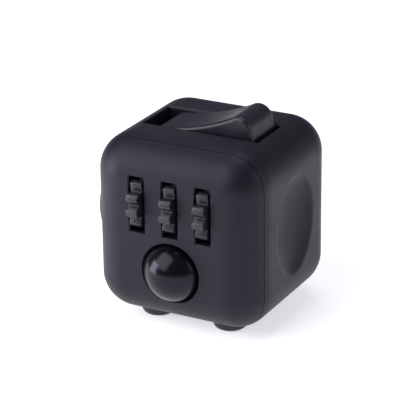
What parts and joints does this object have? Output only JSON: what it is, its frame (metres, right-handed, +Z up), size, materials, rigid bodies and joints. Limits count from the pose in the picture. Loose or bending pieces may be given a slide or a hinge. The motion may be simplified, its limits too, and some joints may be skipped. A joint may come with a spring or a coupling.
{
  "type": "fidget cube",
  "caption": "Cube-shaped desk fidget toy with thumb gears and a ball, a rocker, click buttons, a dial, a glide stick and a thumb dish.",
  "frame": {"origin": "middle of the resting plane, on the flat end of the centre click button, under the cube's centre", "axes": "+Z up; -Y out of the face with the gears and the ball; +X out of the face with the thumb dish, -X out of the dial"},
  "size_m": [0.0366, 0.0405, 0.0398],
  "materials": {
    "soft_touch_shell": "soft-touch matte, near black",
    "gear_plastic": "moulded, satin gloss",
    "ball_gloss": "polished gloss black",
    "rocker_plastic": "satin matte, slightly lighter than the shell",
    "button_plastic": "satin matte",
    "dial_plastic": "satin matte",
    "stick_rubber": "matt rubber",
    "stick_plastic": "matte",
    "inner_plastic": "as moulded",
    "spring_steel": "bright rolled strip and drawn wire",
    "silent_rubber": "matt silicone",
    "turned_steel": "machined, zinc plated"
  },
  "bodies": {
    "shell": {"ball_retainer": "inner_plastic", "ball_retainer_screws": "turned_steel", "ball_snap_dome": "spring_steel", "ball_spring": "spring_steel", "button_plate": "inner_plastic", "button_plate_screws": "turned_steel", "dial_detent_spring": "spring_steel", "dome_back_left": "silent_rubber", "dome_back_right": "spring_steel", "dome_centre": "spring_steel", "dome_front_left": "spring_steel", "dome_front_right": "silent_rubber", "front_cover": "soft_touch_shell", "gear_axle": "turned_steel", "gear_bracket": "inner_plastic", "gear_bracket_screws": "turned_steel", "gear_detent_spring": "spring_steel", "gear_spacers": "turned_steel", "housing": "soft_touch_shell", "joystick_frame": "inner_plastic", "joystick_frame_screws": "turned_steel", "joystick_spring": "spring_steel", "rocker_pins": "turned_steel", "rocker_tray": "inner_plastic", "rocker_tray_screws": "turned_steel"},
    "gear_left": {"gear_left": "gear_plastic"},
    "gear_middle": {"gear_middle": "gear_plastic"},
    "gear_right": {"gear_right": "gear_plastic"},
    "ball_cup": {"ball_cup": "inner_plastic"},
    "ball": {"ball": "ball_gloss"},
    "rocker": {"rocker": "rocker_plastic", "rocker_spring": "spring_steel"},
    "rocker_plunger": {"rocker_plunger": "turned_steel"},
    "dial": {"dial": "dial_plastic", "dial_index_wheel": "inner_plastic", "dial_washer": "turned_steel", "dial_screw": "turned_steel"},
    "gimbal_ring": {"gimbal_ring": "stick_plastic"},
    "joystick": {"joystick": "stick_plastic", "joystick_cap": "stick_rubber"},
    "button_front_left": {"button_front_left": "button_plastic"},
    "button_front_right": {"button_front_right": "button_plastic"},
    "button_back_left": {"button_back_left": "button_plastic"},
    "button_back_right": {"button_back_right": "button_plastic"},
    "button_centre": {"button_centre": "button_plastic"}
  },
  "joints": [
    {"name": "gear_left_spin", "type": "hinge", "parent": "shell", "child": "gear_left", "pos_m": [-0.00668, -0.0134, 0.0247], "axis": [1, 0, 0], "continuous": true},
    {"name": "gear_middle_spin", "type": "hinge", "parent": "shell", "child": "gear_middle", "pos_m": [0, -0.0134, 0.0247], "axis": [1, 0, 0], "continuous": true},
    {"name": "gear_right_spin", "type": "hinge", "parent": "shell", "child": "gear_right", "pos_m": [0.00668, -0.0134, 0.0247], "axis": [1, 0, 0], "continuous": true},
    {"name": "ball_press", "type": "slide", "parent": "shell", "child": "ball_cup", "axis": [0, 1, 0], "range_m": [0, 0.0007], "stiffness_N_per_m": 1500},
    {"name": "ball_roll", "type": "hinge", "parent": "ball_cup", "child": "ball", "pos_m": [0, -0.0146, 0.01249], "axis": [1, 0, 0], "continuous": true},
    {"name": "rocker_flip", "type": "hinge", "parent": "shell", "child": "rocker", "pos_m": [0.00035, 0, 0.0342], "axis": [0, 1, 0], "range_deg": [0, 31]},
    {"name": "rocker_plunger_slide", "type": "slide", "parent": "rocker", "child": "rocker_plunger", "axis": [-0.2672, 0, 0.9636], "range_m": [0, 0.0005], "stiffness_N_per_m": 400},
    {"name": "click_front_left", "type": "slide", "parent": "shell", "child": "button_front_left", "axis": [0, 0, 1], "range_m": [0, 0.0008], "stiffness_N_per_m": 1500, "deforming": ["dome_front_left"]},
    {"name": "click_front_right", "type": "slide", "parent": "shell", "child": "button_front_right", "axis": [0, 0, 1], "range_m": [0, 0.0008], "stiffness_N_per_m": 1500, "deforming": ["dome_front_right"]},
    {"name": "click_back_left", "type": "slide", "parent": "shell", "child": "button_back_left", "axis": [0, 0, 1], "range_m": [0, 0.0008], "stiffness_N_per_m": 1500, "deforming": ["dome_back_left"]},
    {"name": "click_back_right", "type": "slide", "parent": "shell", "child": "button_back_right", "axis": [0, 0, 1], "range_m": [0, 0.0008], "stiffness_N_per_m": 1500, "deforming": ["dome_back_right"]},
    {"name": "click_centre", "type": "slide", "parent": "shell", "child": "button_centre", "axis": [0, 0, 1], "range_m": [0, 0.0008], "stiffness_N_per_m": 1500, "deforming": ["dome_centre"]},
    {"name": "dial_spin", "type": "hinge", "parent": "shell", "child": "dial", "pos_m": [-0.017, 0, 0.019], "axis": [1, 0, 0], "continuous": true},
    {"name": "glide_up_down", "type": "hinge", "parent": "shell", "child": "gimbal_ring", "pos_m": [0, 0.0096, 0.019], "axis": [1, 0, 0], "range_deg": [-11, 11], "stiffness_Nm_per_rad": 0.02},
    {"name": "glide_side_to_side", "type": "hinge", "parent": "gimbal_ring", "child": "joystick", "pos_m": [0, 0.0096, 0.019], "axis": [0, 0, 1], "range_deg": [-11, 11], "stiffness_Nm_per_rad": 0.02}
  ]
}
